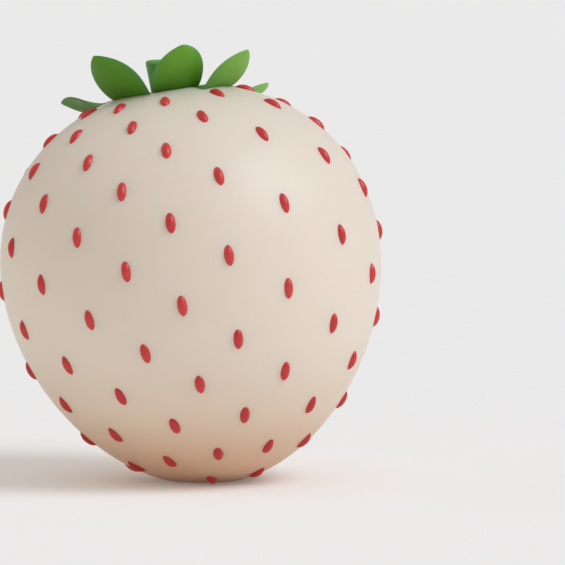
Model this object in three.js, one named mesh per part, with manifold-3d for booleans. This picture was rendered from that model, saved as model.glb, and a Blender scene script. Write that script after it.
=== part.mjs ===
// A whole white-fleshed strawberry, standing on a small flat spot beside its blunt tip.
// Millimetres, +Z up. The origin is the middle of the flat spot, on the surface it stands on.
// The fruit is worked out upright about its own axis, with z = 0 at the middle of its height,
// and is then leaned and set down.

import * as THREE from 'three';
import { mergeVertices } from 'three/addons/utils/BufferGeometryUtils.js';
import Module from 'manifold-3d';

const wasm = await Module();
wasm.setup();

// ---- Driving dimensions -------------------------------------------------------------------

// Flesh: a figure of revolution, fuller at the shoulders than at the tip, with a basin in the
// crown that the calyx sits in.
const bodyRadius = 17.5;
const bodyHalfHeight = 18.6;
const shoulderFullness = 0.118;
const basinDepth = 2.2;
const basinRadius = 3.1;
const basinPower = 4;
const bodySides = 48;
const bodySteps = 23;
const crownEnd = THREE.MathUtils.degToRad(18);
const crownSteps = 9;
const crownTurns = 8;

// Stance: how far the axis leans to -X and to +Y, and how much of the underside is flat.
const leanLeft = THREE.MathUtils.degToRad(8.7);
const leanBack = THREE.MathUtils.degToRad(5.5);
const flatDepth = 0.4;
const lowestSteps = 20000;

// Seeds: rings of ten, each ring half a step round from the next one. The last ring, round the
// tip, has every other seed only.
const ringCount = 12;
const seedsPerRing = 10;
const firstRingAngle = 23.5;
const ringStep = 12;
const tipRing = 9;
const tipRingGrowth = 1.1;
const firstColumn = 184.2;
const seedHalfLength = 1.03;
const seedHalfWidth = 0.5;
const seedHalfDepth = 0.65;
const seedStandsOut = 0.42;
const seedSides = 6;
const seedSteps = 4;

// Seed columns close up on one patch of the fruit and open out on the next one. A patch has
// its middle azimuth and angle from the stem end, and its spread each way, in degrees.
const closing = { azimuth: 320, spread: 70, angle: 86, reach: 83, shift: -13.4 };
const opening = { azimuth: 343, spread: 35, angle: 45, reach: 49, shift: 18.7, lift: 2.9 };

// Calyx: seven pointed, cupped sepals round the stem. Each follows the crown and lifts off it.
// A sepal's width grows from its root by one power and closes at its tip by another. The blade
// is cut off square where it has all but closed.
const sepalCount = 7;
const firstSepal = 21.9;
const sepalWidth = 5.1;
const sepalThickness = 0.62;
const sepalRoot = 1.0;
const rootShare = 0.6;
const rootPower = 2.4;
const tipPower = 0.9;
const fullestShare = 0.58;
const tipEnd = 0.98;
const calyxGap = 0.45;
const liftPower = 1.25;
const sepalSteps = 14;
const sepalStrips = 4;
// For each sepal: its turn from even spacing and its roll in degrees, how far from the axis it
// leaves the crown and its tip reaches, how high the tip stands above the basin's floor, and how
// far its edges stand above its middle line.
const sepals = [
  { turn: 20.2, roll: 1.7, off: 8.6, reach: 12.95, tip: 1.1, cup: 0 },
  { turn: 3, roll: 6, off: 6, reach: 9.3, tip: 0.2, cup: 0.3 },
  { turn: -12, roll: -5, off: 6, reach: 9.5, tip: 0.2, cup: 0.3 },
  { turn: -22.9, roll: 31, off: 6.1, reach: 10.85, tip: 2.1, cup: 0 },
  { turn: -0.9, roll: 8, off: 4.25, reach: 8.65, tip: 5.85, cup: 0.6 },
  { turn: 7.2, roll: 5.5, off: 3.7, reach: 8.45, tip: 5.6, cup: 0.63 },
  { turn: 0.5, roll: -11.7, off: 5.35, reach: 9.45, tip: 4.3, cup: 0.3 },
];

// The stump of the stem stands on the small disc that the sepals grow from, whose underside is
// a little nearer the flesh than theirs.
const stemRadius = 1.3;
const stemHeight = 4.6;
const stemRound = 0.35;
const stemRoundSteps = 3;
const stemSides = 20;
const discRadius = 2.1;
const discGap = 0.36;
const discEdge = 0.42;
const discThickness = 1.2;

// ---- Solids -------------------------------------------------------------------------------

// A closed geometry as a solid that can be joined and cut.
function toSolid(geometry) {
  const bare = geometry.clone();
  bare.deleteAttribute('normal');
  bare.deleteAttribute('uv');
  const tolerance = 1e-5;
  const merged = mergeVertices(bare, tolerance);
  return new wasm.Manifold(new wasm.Mesh({
    numProp: 3,
    vertProperties: new Float32Array(merged.attributes.position.array),
    triVerts: new Uint32Array(merged.index.array),
  }));
}

function toGeometry(solid) {
  const { vertProperties, triVerts } = solid.getMesh();
  const geometry = new THREE.BufferGeometry();
  geometry.setAttribute('position', new THREE.BufferAttribute(vertProperties, 3));
  geometry.setIndex(new THREE.BufferAttribute(triVerts, 1));
  geometry.computeVertexNormals();
  return geometry;
}

function join(solids) {
  return solids.reduce((whole, solid) => whole.add(solid));
}

// A solid of revolution about Z from points (radius, height) that start and end on the axis.
function turned(profile, sides) {
  const points = profile.map(([radius, height]) => new THREE.Vector2(radius, height));
  return new THREE.LatheGeometry(points, sides).rotateX(Math.PI / 2);
}

// ---- Flesh --------------------------------------------------------------------------------

// Distance from the axis and height of the flesh at angle t, from 0 at the stem end to pi.
function fleshProfile(t) {
  const radius = bodyRadius * Math.sin(t) * (1 + shoulderFullness * Math.cos(t));
  const basin = t < Math.PI / 2 ? basinDepth * Math.exp(-((radius / basinRadius) ** basinPower)) : 0;
  return [radius, bodyHalfHeight * Math.cos(t) - basin];
}

// A point of the flesh, with the direction down the side and the direction straight out.
function fleshFrame(t, azimuth) {
  const step = 1e-4;
  const [radius, height] = fleshProfile(t);
  const [radiusBelow, heightBelow] = fleshProfile(t + step);
  const outward = new THREE.Vector3(Math.cos(azimuth), Math.sin(azimuth), 0);
  const up = new THREE.Vector3(0, 0, 1);
  const point = outward.clone().multiplyScalar(radius).addScaledVector(up, height);
  const down = outward.clone().multiplyScalar(radiusBelow - radius)
    .addScaledVector(up, heightBelow - height)
    .normalize();
  const across = new THREE.Vector3().crossVectors(up, outward);
  const normal = new THREE.Vector3().crossVectors(down, across).normalize();
  return { point, down, across, normal };
}

// The flesh, turned from its profile, with closer steps in the crown.
function fleshBody() {
  const angles = [];
  for (let i = 0; i < bodySteps; i += 1) {
    angles.push(Math.PI - (Math.PI - crownEnd) * (i / bodySteps));
  }
  for (let i = crownSteps; i >= 0; i -= 1) angles.push(crownEnd * (i / crownSteps));
  const profile = angles.map(fleshProfile);
  profile[0][0] = 0;
  profile[profile.length - 1][0] = 0;
  return turned(profile, bodySides);
}

// Height of the crown at a distance from the axis. Each turn of the loop comes closer to the
// angle at which the flesh is that wide.
function crownHeight(distance) {
  let angle = 0;
  for (let i = 0; i < crownTurns; i += 1) {
    angle = Math.asin(distance / (bodyRadius * (1 + shoulderFullness * Math.cos(angle))));
  }
  return fleshProfile(angle)[1];
}

// ---- Seeds --------------------------------------------------------------------------------

// How strongly a patch acts at a place, from 1 in its middle to 0 far from it.
function strength(patch, azimuth, angle) {
  const round = (((azimuth - patch.azimuth + 540) % 360) - 180) / patch.spread;
  const down = (angle - patch.angle) / patch.reach;
  return Math.exp(-(round ** 2) - down ** 2);
}

// Angle down from the stem end and azimuth of one seed, in degrees.
function seedPlace(ring, index) {
  const column = 2 * index + (ring % 2);
  const even = firstColumn + column * (180 / seedsPerRing);
  const widening = tipRingGrowth * Math.max(0, ring - tipRing) ** 2;
  const level = firstRingAngle + ringStep * (ring - 1) + widening;
  const close = strength(closing, even, level);
  const open = strength(opening, even, level);
  const lift = opening.lift * open * Math.sin(THREE.MathUtils.degToRad(level));
  return { angle: level - lift, azimuth: even + closing.shift * close + opening.shift * open };
}

function hasSeed(ring, index) {
  return ring < ringCount || index % 2 === 0;
}

function seed(ring, index) {
  const { angle, azimuth } = seedPlace(ring, index);
  const frame = fleshFrame(THREE.MathUtils.degToRad(angle), THREE.MathUtils.degToRad(azimuth));
  const centre = frame.point.clone().addScaledVector(frame.normal, seedStandsOut - seedHalfDepth);
  const along = frame.down.clone().negate();
  const side = new THREE.Vector3().crossVectors(along, frame.normal);
  const place = new THREE.Matrix4().makeBasis(side, along, frame.normal).setPosition(centre);
  return new THREE.SphereGeometry(1, seedSides, seedSteps)
    .scale(seedHalfWidth, seedHalfLength, seedHalfDepth)
    .applyMatrix4(place);
}

// ---- Stance -------------------------------------------------------------------------------

const lean = new THREE.Matrix4().makeRotationX(-leanBack)
  .multiply(new THREE.Matrix4().makeRotationY(-leanLeft));

// The point of the leaned flesh whose surface faces straight down. It lies on the side of the
// fruit that the lean brings lowest.
function lowestPoint() {
  const down = new THREE.Vector3(0, 0, -1).applyMatrix4(lean.clone().invert());
  const azimuth = Math.atan2(down.y, down.x);
  const across = new THREE.Vector3(Math.cos(azimuth), Math.sin(azimuth), 0);
  let lowest = new THREE.Vector3();
  for (let i = lowestSteps / 2; i < lowestSteps; i += 1) {
    const [radius, height] = fleshProfile((Math.PI * i) / lowestSteps);
    const point = across.clone().multiplyScalar(radius).setZ(height);
    if (point.dot(down) > lowest.dot(down)) lowest = point;
  }
  return lowest.applyMatrix4(lean);
}

const low = lowestPoint();
const stance = new THREE.Matrix4().makeTranslation(-low.x, -low.y, -low.z - flatDepth).multiply(lean);

// Everything under the surface that the fruit stands on.
function underside() {
  const size = 4 * bodyRadius;
  return toSolid(new THREE.BoxGeometry(size, size, size).translate(0, 0, -size / 2));
}

function flesh() {
  let solid = toSolid(fleshBody().applyMatrix4(stance));
  for (let ring = 1; ring <= ringCount; ring += 1) {
    for (let index = 0; index < seedsPerRing; index += 1) {
      const geometry = seed(ring, index).applyMatrix4(stance);
      geometry.computeBoundingBox();
      const clear = geometry.boundingBox.min.z > 0;
      if (clear && hasSeed(ring, index)) solid = solid.add(toSolid(geometry));
    }
  }
  return solid.subtract(underside());
}

// ---- Calyx --------------------------------------------------------------------------------

// Share of the full width at share s of the length: a narrow root and a pointed tip.
function sepalOutline(s) {
  const shape = (x) => (x + rootShare) ** rootPower * (1 - x) ** tipPower;
  return shape(s) / shape(fullestShare);
}

// How far a place on a sepal has gone from where it leaves the crown, at 0, to its tip, at 1.
function goneOff(distance, { off, reach }) {
  return Math.max(0, (distance - off) / (reach - off));
}

// The middle line of a sepal in its own upright plane: (distance from the axis, height).
function sepalLine(s, shape) {
  const { reach, tip } = shape;
  const distance = sepalRoot + (reach - sepalRoot) * s;
  const clear = calyxGap + sepalThickness / 2;
  const lift = Math.max(0, crownHeight(0) + tip - crownHeight(reach) - clear);
  const rise = lift * goneOff(distance, shape) ** liftPower;
  return new THREE.Vector2(distance, crownHeight(distance) + clear + rise);
}

// Stations along a sepal, closer together toward the tip: where each stands in its upright
// plane, which way the blade faces there, and its share of the blade's length.
function sepalStations(shape) {
  const step = 0.01;
  const stations = [];
  let length = 0;
  for (let i = 0; i <= sepalSteps; i += 1) {
    const s = tipEnd * Math.sin((Math.PI / 2) * (i / sepalSteps));
    const line = sepalLine(s, shape);
    const ahead = sepalLine(s + step, shape).sub(line).normalize();
    if (i > 0) length += line.distanceTo(stations[i - 1].line);
    stations.push({ line, ahead, length });
  }
  return stations.map((station) => ({ ...station, share: tipEnd * (station.length / length) }));
}

function sepal(index) {
  const shape = sepals[index];
  const azimuth = THREE.MathUtils.degToRad(firstSepal + (360 / sepalCount) * index + shape.turn);
  const outward = new THREE.Vector3(Math.cos(azimuth), Math.sin(azimuth), 0);
  const across = new THREE.Vector3(-Math.sin(azimuth), Math.cos(azimuth), 0);
  const up = new THREE.Vector3(0, 0, 1);
  const faces = [[], []];
  for (const { line, ahead, share } of sepalStations(shape)) {
    const normal = outward.clone().multiplyScalar(-ahead.y).addScaledVector(up, ahead.x);
    const opened = 1 - (1 - goneOff(line.x, shape)) ** 2;
    const rolled = THREE.MathUtils.degToRad(shape.roll * opened);
    const half = (sepalWidth / 2) * sepalOutline(share);
    for (let j = 0; j <= sepalStrips; j += 1) {
      const w = (2 * j) / sepalStrips - 1;
      const rise = shape.cup * w * w * ((2 * half) / sepalWidth) * opened;
      const bowl = crownHeight(Math.hypot(line.x, half * w)) - crownHeight(line.x);
      const middle = outward.clone().multiplyScalar(line.x).addScaledVector(up, line.y + bowl)
        .addScaledVector(across, half * w * Math.cos(rolled))
        .addScaledVector(normal, rise + half * w * Math.sin(rolled));
      faces[0].push(middle.clone().addScaledVector(normal, sepalThickness / 2));
      faces[1].push(middle.clone().addScaledVector(normal, -sepalThickness / 2));
    }
  }
  return closedBlade(faces[0], faces[1], sepalSteps, sepalStrips);
}

// A closed blade from two like grids of points, split into triangles alike on both faces.
function closedBlade(top, bottom, steps, strips) {
  const row = strips + 1;
  const count = top.length;
  const triangles = [];
  const quad = (a, b, c, d) => triangles.push(a, b, c, a, c, d);
  for (let i = 0; i < steps; i += 1) {
    for (let j = 0; j < strips; j += 1) {
      const a = i * row + j;
      quad(a, a + row, a + row + 1, a + 1);
      triangles.push(count + a, count + a + row + 1, count + a + row);
      triangles.push(count + a, count + a + 1, count + a + row + 1);
    }
    const left = i * row;
    const right = left + strips;
    quad(left, count + left, count + left + row, left + row);
    quad(right, right + row, count + right + row, count + right);
  }
  for (let j = 0; j < strips; j += 1) {
    const last = steps * row + j;
    quad(j, j + 1, count + j + 1, count + j);
    quad(last, count + last, count + last + 1, last + 1);
  }
  const geometry = new THREE.BufferGeometry();
  const points = [...top, ...bottom].flatMap((point) => point.toArray());
  geometry.setAttribute('position', new THREE.Float32BufferAttribute(points, 3));
  geometry.setIndex(triangles);
  return geometry;
}

// The cut stump of the stem, with a rounded top edge, and its disc.
function stem() {
  const foot = crownHeight(0) + discGap;
  const rim = crownHeight(discRadius) + discGap;
  const top = crownHeight(0) + stemHeight;
  const round = [];
  for (let i = 0; i <= stemRoundSteps; i += 1) {
    const turn = (Math.PI / 2) * (i / stemRoundSteps);
    round.push([stemRadius - stemRound * (1 - Math.cos(turn)), top - stemRound * (1 - Math.sin(turn))]);
  }
  return turned([
    [0, foot],
    [discRadius / 2, crownHeight(discRadius / 2) + discGap],
    [discRadius, rim],
    [discRadius, rim + discEdge],
    [stemRadius, foot + discThickness],
    ...round,
    [0, top],
  ], stemSides);
}

function calyx() {
  const pieces = [toSolid(stem().applyMatrix4(stance))];
  for (let index = 0; index < sepalCount; index += 1) {
    pieces.push(toSolid(sepal(index).applyMatrix4(stance)));
  }
  return join(pieces);
}

// ---- Assembly -----------------------------------------------------------------------------

function piece(name, solid, colour, roughness) {
  const material = new THREE.MeshStandardMaterial({ color: colour, roughness, metalness: 0 });
  const mesh = new THREE.Mesh(toGeometry(solid), material);
  mesh.name = name;
  return mesh;
}

const strawberry = new THREE.Group();
strawberry.add(piece('flesh', flesh(), 0xe0d4c4, 0.55));
strawberry.add(piece('calyx', calyx(), 0x4f8a2e, 0.5));

export default strawberry;
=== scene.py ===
"""A whole white-fleshed strawberry with red seeds, a green calyx and the stump of its stem.

The fruit is worked out upright about its own axis, in metres, with z = 0 at the middle of its
height. The stance then leans it and sets it down on the small flat spot beside its blunt tip.
Angles down the fruit run from 0 at the stem end to 180 degrees at the tip.
"""
import math

import bpy
from mathutils import Matrix, Vector


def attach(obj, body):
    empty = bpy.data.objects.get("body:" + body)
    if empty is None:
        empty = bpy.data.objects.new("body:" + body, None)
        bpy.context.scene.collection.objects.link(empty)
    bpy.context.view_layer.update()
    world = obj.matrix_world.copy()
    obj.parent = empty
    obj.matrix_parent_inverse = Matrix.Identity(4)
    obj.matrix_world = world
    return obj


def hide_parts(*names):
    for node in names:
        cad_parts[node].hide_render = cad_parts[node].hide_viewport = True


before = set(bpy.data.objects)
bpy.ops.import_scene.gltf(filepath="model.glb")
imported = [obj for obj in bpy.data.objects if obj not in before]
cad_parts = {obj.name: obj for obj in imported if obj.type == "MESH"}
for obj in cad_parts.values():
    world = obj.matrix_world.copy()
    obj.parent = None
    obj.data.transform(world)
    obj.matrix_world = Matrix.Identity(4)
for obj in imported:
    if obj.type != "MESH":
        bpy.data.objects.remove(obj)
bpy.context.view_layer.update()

MM = 0.001

# ---- Flesh: a figure of revolution, fuller at the shoulders than at the tip -----------------

body_radius = 17.5 * MM
body_half_height = 18.6 * MM
shoulder_fullness = 0.118
basin_depth = 2.2 * MM
basin_radius = 3.1 * MM
basin_power = 4
flat_depth = 0.4 * MM
flat_edge = 0.3 * MM
body_segments = 192
body_rings = 200

# Rounds of refining the angle down the fruit at which the crown has a given radius.
crown_turns = 4

# How far the axis leans to -X and to +Y, and how finely the lowest point is looked for.
lean_left = math.radians(8.7)
lean_back = math.radians(5.5)
lowest_steps = 20000

# ---- Seeds: rings of ten, each ring half a step round from the next one ----------------------

# Angles are in degrees. The rings spread wider from the tip ring on, and the last ring, round
# the tip, has every other seed only.
ring_count = 12
seeds_per_ring = 10
first_ring_angle = 23.5
ring_step = 12
tip_ring = 9
tip_ring_growth = 1.1
first_column = 184.2
seed_half_length = 1.03 * MM
seed_half_width = 0.5 * MM
seed_half_depth = 0.65 * MM
seed_stands_out = 0.42 * MM
seed_segments = 14
seed_rings = 8
tone_seed = 4

# Seeds whose middle is lower than this would stand below the flat spot, so they are left off.
lowest_seed = 0.6 * MM

# Seed columns close up on one patch of the fruit and open out on the next one. A patch has its
# middle azimuth and angle down the fruit, and its spread each way, in degrees.
closing = {"azimuth": 320, "spread": 70, "angle": 86, "reach": 83, "shift": -13.4}
opening = {"azimuth": 343, "spread": 35, "angle": 45, "reach": 49, "shift": 18.7, "lift": 2.9}

# ---- Calyx: seven pointed, cupped sepals round the stump of the stem -------------------------

sepal_count = 7
first_sepal = 21.9
sepal_half_width = 2.55 * MM
sepal_thickness = 0.36 * MM
sepal_root = 1.0 * MM
lift_power = 1.25

# A sepal's width grows from its root by one power and closes at its tip by another. The blade
# ends just short of the point, at its end share. Its section is fuller than an ellipse, the more
# so the lower its edge power.
root_share = 0.6
root_power = 2.4
tip_power = 0.9
fullest_share = 0.58
end_share = 0.995
edge_power = 0.6

# The calyx is pressed a little into the crown, so that no gap shows under it. About where the
# innermost seeds begin, a sepal that lies on the crown rises, to pass over them.
calyx_press = 0.12 * MM
over_seeds = 0.45 * MM
over_seeds_from = 6.5 * MM
over_seeds_power = 8

sepal_line_points = 160
sepal_segments = 40
sepal_rings = 64

# For each sepal: its turn from even spacing and its roll in degrees, how far from the axis it
# leaves the crown and its tip reaches, how high the tip stands above the basin's floor, and how
# far its edges stand above its middle line, in mm. Where sepals cross, one lies a little above
# its neighbour.
sepals = {
    "sepal_right": {
        "turn": 20.2, "roll": 1.7, "off": 8.6, "reach": 12.95, "tip": 1.1, "cup": 0, "above": 0},
    "sepal_back_right": {
        "turn": 3, "roll": 6, "off": 6, "reach": 9.3, "tip": 0.2, "cup": 0.3, "above": 0.22},
    "sepal_back_left": {
        "turn": -12, "roll": -5, "off": 6, "reach": 9.5, "tip": 0.2, "cup": 0.3, "above": 0.1},
    "sepal_left": {
        "turn": -22.9, "roll": 31, "off": 6.1, "reach": 10.85, "tip": 2.1, "cup": 0, "above": 0},
    "sepal_front_left": {
        "turn": -0.9, "roll": 8, "off": 4.25, "reach": 8.65, "tip": 5.85, "cup": 0.6, "above": 0},
    "sepal_front": {
        "turn": 7.2, "roll": 5.5, "off": 3.7, "reach": 8.45, "tip": 5.6, "cup": 0.63, "above": 0.12},
    "sepal_front_right": {
        "turn": 0.5, "roll": -11.7, "off": 5.35, "reach": 9.45, "tip": 4.3, "cup": 0.3, "above": 0},
}

stem_foot_radius = 1.15 * MM
stem_top_radius = 1.34 * MM
stem_height = 4.6 * MM
stem_round = 0.35 * MM
stem_dish = 0.12 * MM
disc_radius = 2.1 * MM
disc_thickness = 0.7 * MM
flare_steepness = 2
stem_segments = 48
flare_steps = 16
round_steps = 6

# Where the rings of the dished cut lie, as shares of its radius.
dish_shares = (0.66, 0.33)

# ---- Stage: a long lens, soft light and a pale floor ------------------------------------------

camera_tilt = math.radians(5.5)
camera_lens = 1200
camera_sensor = 36
picture_width = 52.3 * MM
fruit_left_of_middle = 8.19 * MM
fruit_below_middle = 0.21 * MM
camera_reach = 100
floor_half_width = 4.0

world_colour = (1, 0.98, 0.95, 1)
world_strength = 0.49
suns = {
    "key": {"azimuth": 338, "elevation": 46, "spread": 35, "strength": 1.56, "colour": (0.8, 0.88, 1)},
    "rim": {"azimuth": 160, "elevation": 30, "spread": 60, "strength": 0.15, "colour": (1, 1, 1)},
}


# ---- Node trees written as Python ------------------------------------------------------------

class Wire:
    """One output socket. Arithmetic on it adds Math nodes to the tree that it belongs to."""

    def __init__(self, socket):
        self.socket = socket

    def maths(self, operation, *values):
        inputs = dict(enumerate(values))
        return Bench(self.socket.id_data).node("ShaderNodeMath", {"operation": operation}, inputs)

    def __add__(self, other):
        return self.maths("ADD", self, other)

    __radd__ = __add__

    def __sub__(self, other):
        return self.maths("SUBTRACT", self, other)

    def __rsub__(self, other):
        return self.maths("SUBTRACT", other, self)

    def __mul__(self, other):
        return self.maths("MULTIPLY", self, other)

    __rmul__ = __mul__

    def __truediv__(self, other):
        return self.maths("DIVIDE", self, other)

    def __rtruediv__(self, other):
        return self.maths("DIVIDE", other, self)

    def __pow__(self, other):
        return self.maths("POWER", self, other)

    def __mod__(self, other):
        return self.maths("FLOORED_MODULO", self, other)

    def __gt__(self, other):
        return self.maths("GREATER_THAN", self, other)

    def sin(self):
        return self.maths("SINE", self)

    def cos(self):
        return self.maths("COSINE", self)

    def exp(self):
        return self.maths("EXPONENT", self)

    def sqrt(self):
        return self.maths("SQRT", self)

    def floor(self):
        return self.maths("FLOOR", self)

    def arcsin(self):
        return self.maths("ARCSINE", self)

    def at_least(self, other):
        return self.maths("MAXIMUM", self, other)


class Bench:
    """A node tree being wired."""

    def __init__(self, tree):
        self.tree = tree

    def nodes(self, kind, settings=None, inputs=None):
        """Add a node: its settings first, then the values or links of its sockets."""
        made = self.tree.nodes.new(kind)
        for name, value in (settings or {}).items():
            setattr(made, name, value)
        for name, value in (inputs or {}).items():
            if isinstance(value, Wire):
                self.tree.links.new(value.socket, made.inputs[name])
            else:
                made.inputs[name].default_value = value
        return made

    def node(self, kind, settings=None, inputs=None, output=0):
        """Add a node and give one of its outputs."""
        return Wire(self.nodes(kind, settings, inputs).outputs[output])

    def vector(self, x, y, z):
        return self.node("ShaderNodeCombineXYZ", {}, {"X": x, "Y": y, "Z": z})

    def parts(self, vector):
        split = self.nodes("ShaderNodeSeparateXYZ", {}, {"Vector": vector})
        return [Wire(output) for output in split.outputs]

    def along(self, vector, length):
        """A vector times a number."""
        return self.node("ShaderNodeVectorMath", {"operation": "SCALE"}, {0: vector, "Scale": length})

    def sum(self, first, *others):
        """The sum of vectors."""
        total = first
        for other in others:
            total = self.node("ShaderNodeVectorMath", {"operation": "ADD"}, {0: total, 1: other})
        return total

    def unit(self, vector):
        return self.node("ShaderNodeVectorMath", {"operation": "NORMALIZE"}, {0: vector})

    def blend(self, factor, first, second):
        """A colour between two colours."""
        inputs = {0: factor, 6: first, 7: second}
        return self.node("ShaderNodeMix", {"data_type": "RGBA"}, inputs, 2)


def grown(name, shape, sizes, finish):
    """An object whose mesh comes from a node tree with the named sizes as its inputs."""
    tree = bpy.data.node_groups.new(name, "GeometryNodeTree")
    bench = Bench(tree)
    tree.interface.new_socket("Geometry", in_out="OUTPUT", socket_type="NodeSocketGeometry")
    kinds = {float: "NodeSocketFloat", int: "NodeSocketInt"}
    sockets = {}
    for key, value in sizes.items():
        kind = kinds[type(value)]
        sockets[key] = tree.interface.new_socket(key, in_out="INPUT", socket_type=kind)
    entry = bench.nodes("NodeGroupInput")
    geometry = shape(bench, {key: Wire(entry.outputs[key]) for key in sizes})
    whole = bench.node("GeometryNodeRealizeInstances", {}, {"Geometry": geometry})
    smooth = bench.node("GeometryNodeSetShadeSmooth", {}, {"Geometry": whole, "Shade Smooth": True})
    done = bench.node("GeometryNodeSetMaterial", {}, {"Geometry": smooth, "Material": finish})
    bench.nodes("NodeGroupOutput", {}, {"Geometry": done})

    piece = bpy.data.objects.new(name, bpy.data.meshes.new(name))
    bpy.context.scene.collection.objects.link(piece)
    modifier = piece.modifiers.new(name, "NODES")
    modifier.node_group = tree
    for key, value in sizes.items():
        modifier[sockets[key].identifier] = value
    bpy.context.view_layer.update()
    evaluated = piece.evaluated_get(bpy.context.evaluated_depsgraph_get())
    mesh = bpy.data.meshes.new_from_object(evaluated)
    mesh.name = name
    piece.modifiers.clear()
    piece.data = mesh
    return piece


# ---- Stance ----------------------------------------------------------------------------------

def flesh_profile(angle):
    """Distance from the axis and height of the flesh at an angle down the fruit, in radians."""
    radius = body_radius * math.sin(angle) * (1 + shoulder_fullness * math.cos(angle))
    basin = basin_depth * math.exp(-((radius / basin_radius) ** basin_power))
    basin = basin if angle < math.pi / 2 else 0
    return radius, body_half_height * math.cos(angle) - basin


def lowest_point():
    """The point of the leaned flesh whose surface faces straight down."""
    down = lean.inverted() @ Vector((0, 0, -1))
    azimuth = math.atan2(down.y, down.x)
    best = Vector()
    for step in range(lowest_steps // 2, lowest_steps):
        radius, height = flesh_profile(math.pi * step / lowest_steps)
        point = Vector((radius * math.cos(azimuth), radius * math.sin(azimuth), height))
        if point.dot(down) > best.dot(down):
            best = point
    return lean @ best


def crown_height(distance):
    """Height of the crown at a distance from the axis, found on the flesh's own profile."""
    angle = 0
    for _ in range(crown_turns):
        angle = math.asin(distance / (body_radius * (1 + shoulder_fullness * math.cos(angle))))
    return flesh_profile(angle)[1]


lean = Matrix.Rotation(-lean_back, 3, "X") @ Matrix.Rotation(-lean_left, 3, "Y")
low = lowest_point()
stance = Matrix.Translation((-low.x, -low.y, -low.z - flat_depth)) @ lean.to_4x4()


# ---- Shapes ----------------------------------------------------------------------------------

def body_shape(bench, size):
    """A sphere of directions pulled out to the flesh, stood on the floor and pressed flat there."""
    sphere = bench.node(
        "GeometryNodeMeshUVSphere", {}, {"Segments": size["Segments"], "Rings": size["Rings"]})
    x, y, z = bench.parts(bench.node("GeometryNodeInputPosition"))
    wide = size["Radius"] * (1 + size["Fullness"] * z)
    out = wide * (x * x + y * y).sqrt()
    basin = size["Basin depth"] * (0 - (out / size["Basin radius"]) ** basin_power).exp() * (z > 0)
    pulled = bench.vector(x * wide, y * wide, size["Half height"] * z - basin)
    body = bench.node("GeometryNodeSetPosition", {}, {"Geometry": sphere, "Position": pulled})
    body = stood(bench, body)
    x, y, z = bench.parts(bench.node("GeometryNodeInputPosition"))
    pressed = bench.vector(x, y, z.maths("SMOOTH_MAX", z, 0, size["Flat edge"]))
    return bench.node("GeometryNodeSetPosition", {}, {"Geometry": body, "Position": pressed})


def stood(bench, geometry):
    """Geometry leaned and set down with the fruit."""
    return bench.node("GeometryNodeTransform", {}, {
        "Geometry": geometry, "Translation": stance.to_translation(), "Rotation": stance.to_euler()})


def patch_strength(patch, azimuth, angle):
    """How strongly a patch acts at a place, from 1 in its middle to 0 far from it."""
    around = ((azimuth - (patch["azimuth"] - 180)) % 360 - 180) / patch["spread"]
    down = (angle - patch["angle"]) / patch["reach"]
    return (0 - around * around - down * down).exp()


def seed_shape(bench, size):
    """Seeds on the flesh, each with its length along the meridian, rings half a step apart."""
    count = size["Rings"] * size["Seeds per ring"]
    index = bench.node("GeometryNodeInputIndex")
    ring = (index / size["Seeds per ring"]).floor() + 1
    # Columns are counted in half steps: odd ones in the odd rings and even ones in the others.
    column = 2 * (index % size["Seeds per ring"]) + ring % 2
    even = first_column + column * (180 / size["Seeds per ring"])
    widening = tip_ring_growth * (ring - tip_ring).at_least(0) ** 2
    level = first_ring_angle + ring_step * (ring - 1) + widening
    close = patch_strength(closing, even, level)
    open_out = patch_strength(opening, even, level)
    azimuth = (even + closing["shift"] * close + opening["shift"] * open_out) * math.radians(1)
    lift = opening["lift"] * open_out * (level * math.radians(1)).sin()
    angle = (level - lift) * math.radians(1)

    outward = bench.vector(azimuth.cos(), azimuth.sin(), 0)
    axis = bench.vector(0, 0, 1)
    radius = body_radius * angle.sin() * (1 + shoulder_fullness * angle.cos())
    slope = body_radius * (angle.cos() + shoulder_fullness * (2 * angle).cos())
    drop = body_half_height * angle.sin()
    normal = bench.unit(bench.sum(bench.along(outward, drop), bench.along(axis, slope)))
    meridian = bench.sum(bench.along(outward, 0 - slope), bench.along(axis, drop))
    centre = bench.sum(
        bench.along(outward, radius),
        bench.along(axis, body_half_height * angle.cos()),
        bench.along(normal, size["Stands out"] - size["Half depth"]))

    up = lean.inverted() @ Vector((0, 0, 1))
    height = bench.node(
        "ShaderNodeVectorMath", {"operation": "DOT_PRODUCT"}, {0: centre, 1: up}, "Value")
    above_floor = height + stance.to_translation().z
    left_off = (ring > size["Rings"] - 1) * (column % 4 > 1)
    places = bench.node("GeometryNodePoints", {}, {"Count": count, "Position": centre})
    turn = bench.node(
        "FunctionNodeAxesToRotation", {"primary_axis": "Z", "secondary_axis": "Y"},
        {"Primary Axis": normal, "Secondary Axis": meridian})
    one = bench.node("GeometryNodeMeshUVSphere", {}, {
        "Segments": size["Seed segments"], "Rings": size["Seed rings"]})
    one = bench.node("GeometryNodeTransform", {}, {
        "Geometry": one, "Rotation": (math.radians(90), 0, 0),
        "Scale": bench.vector(size["Half width"], size["Half depth"], size["Half length"])})
    seeds = bench.node("GeometryNodeInstanceOnPoints", {}, {
        "Points": places, "Selection": (above_floor > lowest_seed) * (1 - left_off),
        "Instance": one, "Rotation": turn})
    tone = bench.node(
        "FunctionNodeRandomValue", {"data_type": "FLOAT"}, {"Seed": size["Random seed"]}, 1)
    seeds = bench.node("GeometryNodeStoreNamedAttribute", {"domain": "INSTANCE"}, {
        "Geometry": seeds, "Name": "tone", "Value": tone})
    return stood(bench, seeds)


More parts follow.
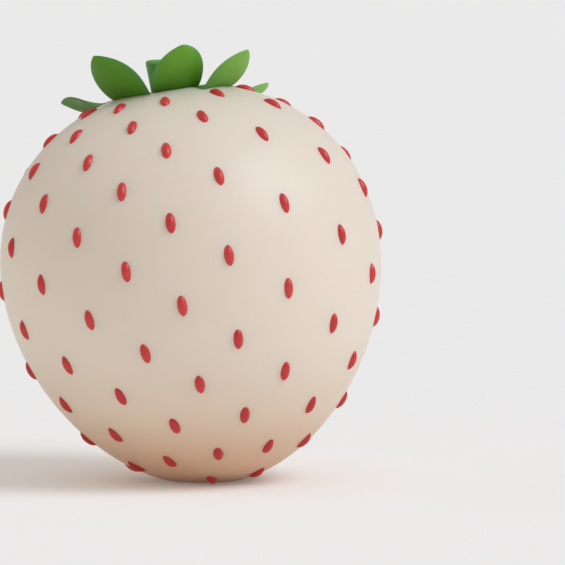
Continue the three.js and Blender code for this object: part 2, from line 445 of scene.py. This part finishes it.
def crown(distance):
    """Height of the crown at a distance from the axis, as nodes."""
    angle = 0 * distance
    for _ in range(crown_turns):
        share = distance / (body_radius * (1 + shoulder_fullness * angle.cos()))
        angle = share.arcsin()
    basin = basin_depth * (0 - (distance / basin_radius) ** basin_power).exp()
    return body_half_height * angle.cos() - basin


def sepal_outline(share):
    """How the width runs along a sepal: a narrow root, a full middle and a pointed tip."""
    return (share + root_share) ** root_power * (1 - share) ** tip_power


def gone_off(size, distance):
    """How far a sepal has gone from where it leaves the crown, at 0, to its tip, at 1."""
    return ((distance - size["Off"]) / (size["Reach"] - size["Off"])).at_least(0)


def sepal_shape(bench, size):
    """A cupped blade along a line that follows the crown outwards and lifts off it."""
    line = bench.node("GeometryNodeCurvePrimitiveLine", {}, {"End": (1, 0, 0)})
    line = bench.node("GeometryNodeResampleCurve", {}, {"Curve": line, "Count": sepal_line_points})
    gone = bench.node("GeometryNodeSplineParameter")
    distance = sepal_root + (size["Reach"] - sepal_root) * gone
    lift = size["Lift"] * gone_off(size, distance) ** lift_power
    over = over_seeds * (1 - (0 - (distance / over_seeds_from) ** over_seeds_power).exp())
    height = crown(distance) + size["Above crown"] + (lift * lift + over * over).sqrt()
    line = bench.node("GeometryNodeSetPosition", {}, {
        "Geometry": line, "Position": bench.vector(distance, 0, height)})

    sphere = bench.node(
        "GeometryNodeMeshUVSphere", {}, {"Segments": size["Segments"], "Rings": size["Rings"]})
    x, y, z = bench.parts(bench.node("GeometryNodeInputPosition"))
    ring = (x * x + y * y).sqrt()
    across = x / ring
    face = y / ring
    share = end_share * (1 + z) / 2
    sample = bench.nodes(
        "GeometryNodeSampleCurve", {"mode": "FACTOR"}, {"Curves": line, "Factor": share})
    middle = Wire(sample.outputs["Position"])
    ahead = bench.parts(Wire(sample.outputs["Tangent"]))
    distance = bench.parts(middle)[0]
    half = size["Half width"] / sepal_outline(fullest_share) * sepal_outline(share)
    opened = 1 - (1 - gone_off(size, distance)) ** 2
    roll = size["Roll"] * opened
    side = half * across * roll.cos()
    bowl = crown((distance * distance + side * side).sqrt()) - crown(distance)
    rise = size["Cup"] * across ** 2 * (half / size["Half width"]) * opened
    rim = face.maths("SIGN", face) * face.maths("ABSOLUTE", face) ** edge_power
    lifted = rise + half * across * roll.sin() + size["Thickness"] / 2 * rim * ring.sqrt()
    normal = bench.vector(0 - ahead[2], 0, ahead[0])
    blade = bench.node("GeometryNodeStoreNamedAttribute", {}, {
        "Geometry": sphere, "Name": "along", "Value": share})
    blade = bench.node("GeometryNodeStoreNamedAttribute", {}, {
        "Geometry": blade, "Name": "across", "Value": across})
    blade = bench.node("GeometryNodeSetPosition", {}, {
        "Geometry": blade, "Position": bench.sum(
            middle, bench.vector(0, side, bowl), bench.along(normal, lifted))})
    blade = bench.node("GeometryNodeTransform", {}, {
        "Geometry": blade, "Rotation": bench.vector(0, 0, size["Azimuth"])})
    return stood(bench, blade)


def turned(name, profile, segments, finish):
    """A solid of revolution from (radius, height) points that start and end on the axis.

    It is sheared more and more with height, so that its top is level once the fruit leans.
    """
    foot, top = profile[0][1], profile[-1][1]
    level = stance.to_3x3().transposed() @ Vector((0, 0, 1))
    rings = profile[1:-1]
    points = [Vector((0, 0, foot))]
    for radius, height in rings:
        for turn in range(segments):
            around = 2 * math.pi * turn / segments
            x, y = radius * math.cos(around), radius * math.sin(around)
            shear = (height - foot) / (top - foot) * (level.x * x + level.y * y) / level.z
            points.append(Vector((x, y, height - shear)))
    points.append(Vector((0, 0, top)))
    faces = []
    last = len(points) - 1
    for turn in range(segments):
        following = (turn + 1) % segments
        faces.append((0, 1 + following, 1 + turn))
        for ring in range(len(rings) - 1):
            below = 1 + ring * segments
            above = below + segments
            faces.append((below + turn, below + following, above + following, above + turn))
        highest = 1 + (len(rings) - 1) * segments
        faces.append((highest + turn, highest + following, last))
    mesh = bpy.data.meshes.new(name)
    mesh.from_pydata([stance @ point for point in points], [], faces)
    mesh.shade_smooth()
    mesh.materials.append(finish)
    piece = bpy.data.objects.new(name, mesh)
    bpy.context.scene.collection.objects.link(piece)
    return piece


def stem_profile():
    """From under the disc, out to its rim, up the flare to the stump and over its cut top."""
    foot = flesh_profile(0)[1] - calyx_press
    rim = crown_height(disc_radius) - calyx_press
    top = flesh_profile(0)[1] + stem_height
    profile = [(0, foot), (disc_radius / 2, (foot + rim) / 2)]
    for step in range(flare_steps + 1):
        share = step / flare_steps
        height = rim + (top - stem_round - rim) * share ** 2
        radius = stem_foot_radius + (stem_top_radius - stem_foot_radius) * share ** 2
        faded = math.exp(-(height - rim) / disc_thickness * flare_steepness)
        flare = (disc_radius - stem_foot_radius) * faded
        profile.append((radius + flare, height))
    for step in range(1, round_steps + 1):
        turn = math.pi / 2 * step / round_steps
        profile.append((stem_top_radius - stem_round * (1 - math.cos(turn)),
                        top - stem_round * (1 - math.sin(turn))))
    for share in dish_shares:
        profile.append(((stem_top_radius - stem_round) * share, top - stem_dish * (1 - share ** 2)))
    profile.append((0, top - stem_dish))
    return profile


# ---- Finishes --------------------------------------------------------------------------------

# In each finish, a mask times a number is the share of the next paint that is laid over the last.
cloud_detail = 2

# Heights over the floor below which painted shade darkens the flesh, warms it and browns it, and
# darkens the seeds.
flesh_painted_shade_below = 15 * MM
flesh_painted_warm_shade_below = 8 * MM
flesh_painted_contact_shade_below = 1.3 * MM
seeds_painted_shade_below = 18 * MM

# How far along a sepal its tip's green begins, and how far across it the painted rim light begins.
tip_green_from = 0.2
rim_painted_light_from = 0.7

# Where along X painted light makes the leaves paler, towards +X, and painted shade makes them deeper,
# towards -X.
leaf_painted_light_from = -1 * MM
leaf_painted_light_to = 7 * MM
leaf_painted_shade_from = -2 * MM
leaf_painted_shade_to = -12 * MM


def paint(red, green, blue):
    """A colour from its display values of 0 to 255."""
    def linear(value):
        share = value / 255
        return share / 12.92 if share <= 0.04045 else ((share + 0.055) / 1.055) ** 2.4
    return linear(red), linear(green), linear(blue), 1


def finish(name, surface):
    material = bpy.data.materials.new(name)
    material.use_nodes = True
    material.node_tree.nodes.clear()
    bench = Bench(material.node_tree)
    bench.nodes("ShaderNodeOutputMaterial", {}, {"Surface": surface(bench)})
    return material


def clouds(bench, place, scale):
    """Soft noise from 0 to 1, with its scale in cells to the metre."""
    return bench.node(
        "ShaderNodeTexNoise", {}, {"Vector": place, "Scale": scale, "Detail": cloud_detail}, "Fac")


def between(bench, value, start, end):
    """How far a value has gone from start to end, eased at both."""
    return bench.node("ShaderNodeMapRange", {"interpolation_type": "SMOOTHSTEP"}, {
        "Value": value, "From Min": start, "From Max": end})


def pale_flesh(bench):
    place = bench.node("ShaderNodeTexCoord", output="Object")
    height = bench.parts(place)[2]
    # Painted shade: the flesh is darker, then warmer, then brown towards the floor it rests on.
    painted_low_shade = between(bench, height, flesh_painted_shade_below, 0)
    colour = bench.blend(painted_low_shade * 0.8, paint(239, 225, 209), paint(220, 187, 156))
    painted_warm_shade = between(bench, height, flesh_painted_warm_shade_below, 0)
    colour = bench.blend(painted_warm_shade * 0.6, colour, paint(200, 138, 90))
    painted_contact_shade = between(bench, height, flesh_painted_contact_shade_below, 0)
    colour = bench.blend(painted_contact_shade * 0.6, colour, paint(126, 70, 36))
    colour = bench.blend(clouds(bench, place, 160) * 0.25, colour, paint(232, 216, 190))
    skin = clouds(bench, place, 3000)
    bump = bench.node("ShaderNodeBump", {}, {"Strength": 0.04, "Distance": 0.1 * MM, "Height": skin})
    return bench.node("ShaderNodeBsdfPrincipled", {}, {
        "Base Color": colour, "Roughness": 0.42 + 0.1 * clouds(bench, place, 400), "Normal": bump,
        "Subsurface Weight": 0.4, "Subsurface Radius": (1, 0.5, 0.3), "Subsurface Scale": 3 * MM})


def red_seed(bench):
    place = bench.node("ShaderNodeTexCoord", output="Object")
    tone = bench.node("ShaderNodeAttribute", {"attribute_name": "tone"}, output="Fac")
    colour = bench.blend(tone, paint(210, 50, 48), paint(222, 64, 60))
    colour = bench.blend(clouds(bench, place, 1500) * 0.3, colour, paint(176, 28, 26))
    # Painted shade: the seeds are a deeper red towards the floor.
    painted_shade = between(bench, bench.parts(place)[2], seeds_painted_shade_below, 0)
    colour = bench.blend(painted_shade * 0.8, colour, paint(178, 14, 6))
    return bench.node("ShaderNodeBsdfPrincipled", {}, {
        "Base Color": colour, "Roughness": 0.28 + 0.1 * clouds(bench, place, 3000)})


def green_leaf(bench):
    place = bench.node("ShaderNodeTexCoord", output="Object")
    along = bench.node("ShaderNodeAttribute", {"attribute_name": "along"}, output="Fac")
    across = bench.node("ShaderNodeAttribute", {"attribute_name": "across"}, output="Fac")
    tip = between(bench, along, tip_green_from, 1)
    colour = bench.blend(tip, paint(64, 114, 8), paint(114, 178, 58))
    colour = bench.blend(clouds(bench, place, 500) * 0.4, colour, paint(86, 142, 22))
    # Painted rim light: a teal tint along the sepal edges.
    rim = between(bench, across.maths("ABSOLUTE", across), rim_painted_light_from, 1)
    colour = bench.blend(rim * 0.45, colour, paint(84, 152, 92))
    # Painted light on the leaves towards +X and painted shade on them towards -X.
    x = bench.parts(place)[0]
    painted_light = between(bench, x, leaf_painted_light_from, leaf_painted_light_to)
    colour = bench.blend(painted_light * 0.55, colour, paint(166, 222, 114))
    painted_shade = between(bench, x, leaf_painted_shade_from, leaf_painted_shade_to)
    colour = bench.blend(painted_shade * 0.5, colour, paint(44, 88, 14))
    return bench.node("ShaderNodeBsdfPrincipled", {}, {
        "Base Color": colour, "Roughness": 0.4 + 0.12 * clouds(bench, place, 900),
        "Specular IOR Level": 0.22})


def green_stem(bench):
    place = bench.node("ShaderNodeTexCoord", output="Object")
    colour = bench.blend(clouds(bench, place, 600), paint(76, 150, 54), paint(96, 166, 70))
    return bench.node("ShaderNodeBsdfPrincipled", {}, {
        "Base Color": colour, "Roughness": 0.42 + 0.1 * clouds(bench, place, 1200)})


def floor_paint(bench):
    place = bench.node("ShaderNodeTexCoord", output="Object")
    colour = bench.blend(clouds(bench, place, 3), paint(240, 237, 234), paint(243, 240, 237))
    return bench.node("ShaderNodeBsdfPrincipled", {}, {
        "Base Color": colour, "Roughness": 0.8, "Emission Color": colour, "Emission Strength": 0.15})


# ---- Stage -----------------------------------------------------------------------------------

def set_camera():
    """A long lens level with the middle of the fruit's height, looking down by the camera tilt."""
    middle = stance.to_translation()
    right = Vector((1, 0, 0))
    up = Vector((0, math.sin(camera_tilt), math.cos(camera_tilt)))
    back = right.cross(up)
    aim = middle + right * fruit_left_of_middle + up * fruit_below_middle
    distance = camera_lens * picture_width / camera_sensor
    camera = bpy.data.objects.new("camera", bpy.data.cameras.new("camera"))
    camera.data.sensor_width = camera_sensor
    camera.data.lens = camera_lens
    camera.data.clip_end = camera_reach
    turn = Matrix((right, up, back)).transposed().to_4x4()
    camera.matrix_world = Matrix.Translation(aim + back * distance) @ turn
    bpy.context.scene.collection.objects.link(camera)
    bpy.context.scene.camera = camera


def sun(name, azimuth, elevation, spread, strength, colour):
    """A far soft light. Its azimuth is 0 to the right and 270 on the camera's side."""
    lamp = bpy.data.lights.new(name, "SUN")
    lamp.angle = math.radians(spread)
    lamp.energy = strength
    lamp.color = colour
    holder = bpy.data.objects.new(name, lamp)
    around, above = math.radians(azimuth), math.radians(elevation)
    toward = Vector((
        math.cos(around) * math.cos(above), math.sin(around) * math.cos(above), math.sin(above)))
    holder.rotation_mode = "QUATERNION"
    holder.rotation_quaternion = toward.to_track_quat("Z", "Y")
    bpy.context.scene.collection.objects.link(holder)


def set_light():
    world = bpy.data.worlds.new("studio")
    world.use_nodes = True
    world.node_tree.nodes.clear()
    bench = Bench(world.node_tree)
    background = bench.node(
        "ShaderNodeBackground", {}, {"Color": world_colour, "Strength": world_strength})
    bench.nodes("ShaderNodeOutputWorld", {}, {"Surface": background})
    bpy.context.scene.world = world
    for name, light in suns.items():
        sun(name, **light)
    bpy.context.scene.view_settings.view_transform = "Standard"


def set_floor():
    half = floor_half_width
    mesh = bpy.data.meshes.new("floor")
    corners = [(-half, -half, 0), (half, -half, 0), (half, half, 0), (-half, half, 0)]
    mesh.from_pydata(corners, [], [(0, 1, 2, 3)])
    mesh.materials.append(finish("floor_paint", floor_paint))
    floor = bpy.data.objects.new("floor", mesh)
    bpy.context.scene.collection.objects.link(floor)


# ---- Assembly --------------------------------------------------------------------------------

def stand_for(piece, node):
    """Let a finished piece stand for its node of the frame."""
    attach(piece, "root")
    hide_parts(node)


set_camera()
set_light()
set_floor()

body = grown("flesh_skin", body_shape, {
    "Radius": body_radius, "Half height": body_half_height, "Fullness": shoulder_fullness,
    "Basin depth": basin_depth, "Basin radius": basin_radius, "Flat edge": flat_edge,
    "Segments": body_segments, "Rings": body_rings}, finish("pale_flesh", pale_flesh))
stand_for(body, "flesh")

seeds = grown("seeds", seed_shape, {
    "Rings": ring_count, "Seeds per ring": seeds_per_ring,
    "Half length": seed_half_length, "Half width": seed_half_width, "Half depth": seed_half_depth,
    "Stands out": seed_stands_out, "Seed segments": seed_segments, "Seed rings": seed_rings,
    "Random seed": tone_seed}, finish("red_seed", red_seed))
stand_for(seeds, "flesh")

leaf = finish("green_leaf", green_leaf)
for number, (name, sepal) in enumerate(sepals.items()):
    azimuth = first_sepal + 360 / sepal_count * number + sepal["turn"]
    reach = sepal["reach"] * MM
    above = sepal["above"] * MM - calyx_press
    lift = crown_height(0) + sepal["tip"] * MM - crown_height(reach) - above
    blade = grown(name, sepal_shape, {
        "Azimuth": math.radians(azimuth), "Reach": reach, "Lift": lift,
        "Above crown": above, "Off": sepal["off"] * MM,
        "Roll": math.radians(sepal["roll"]), "Cup": sepal["cup"] * MM,
        "Half width": sepal_half_width, "Thickness": sepal_thickness,
        "Segments": sepal_segments, "Rings": sepal_rings}, leaf)
    stand_for(blade, "calyx")

stem = turned("stem", stem_profile(), stem_segments, finish("green_stem", green_stem))
stand_for(stem, "calyx")
